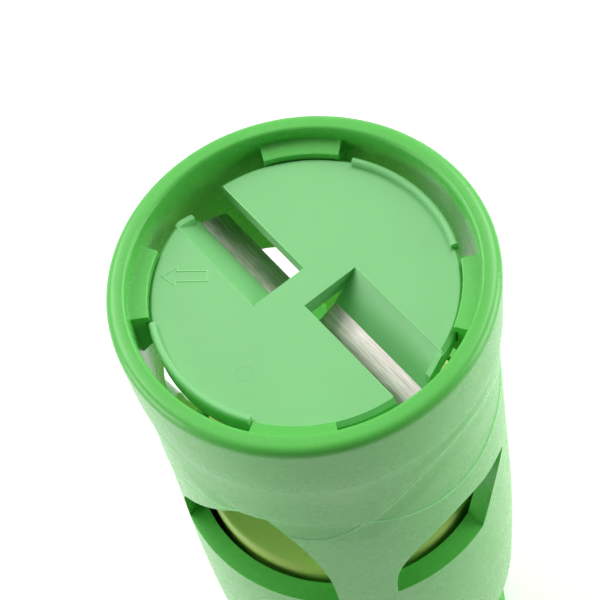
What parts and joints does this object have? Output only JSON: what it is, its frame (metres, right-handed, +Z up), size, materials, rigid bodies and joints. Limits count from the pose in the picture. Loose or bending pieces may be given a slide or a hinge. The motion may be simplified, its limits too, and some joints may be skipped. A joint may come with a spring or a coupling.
{
  "type": "spiralizer with crank",
  "caption": "Green spiral vegetable cutter: a windowed housing with a bladed plate at the top and a lime pusher turned by a folding crank.",
  "frame": {"origin": "centre of the face that the tool stands on, on its axis", "axes": "+Z up the tool's axis towards the cutting end, +Y towards the folding crank, +X to the right seen from the front"},
  "size_m": [0.0722, 0.1107, 0.1825],
  "materials": {
    "green_plastic": "satin",
    "plate_plastic": "satin",
    "lime_plastic": "satin",
    "blade_steel": "ground",
    "rivet_steel": "satin",
    "pin_steel": "polished",
    "soft_rubber": "matte"
  },
  "bodies": {
    "housing": {"housing": "green_plastic", "blade_plate": "plate_plastic", "blade_a": "blade_steel", "blade_b": "blade_steel", "rivets_a": "rivet_steel", "rivets_b": "rivet_steel"},
    "guide": {"guide_ring": "lime_plastic"},
    "pusher": {"pusher_tube": "lime_plastic", "pusher_face": "lime_plastic", "food_pins": "pin_steel", "centre_pin": "pin_steel", "friction_ring": "soft_rubber", "crank_base": "green_plastic", "base_screws": "rivet_steel", "foot_ring": "soft_rubber", "arm_pin": "pin_steel"},
    "arm": {"crank_arm": "green_plastic", "knob_axle": "pin_steel"},
    "knob": {"crank_knob": "lime_plastic", "knob_cap": "green_plastic"}
  },
  "joints": [
    {"name": "crank_turn", "type": "hinge", "parent": "housing", "child": "guide", "pos_m": [0, 0, 0.0635], "axis": [0, 0, 1], "continuous": true},
    {"name": "feed", "type": "slide", "parent": "guide", "child": "pusher", "axis": [0, 0, 1], "range_m": [0, 0.048]},
    {"name": "arm_fold", "type": "hinge", "parent": "pusher", "child": "arm", "pos_m": [0, 0.0412, 0.007], "axis": [-1, 0, 0], "range_deg": [0, 90]},
    {"name": "knob_spin", "type": "hinge", "parent": "arm", "child": "knob", "pos_m": [0, 0.0596, 0.04], "axis": [0, 1, 0], "continuous": true}
  ]
}
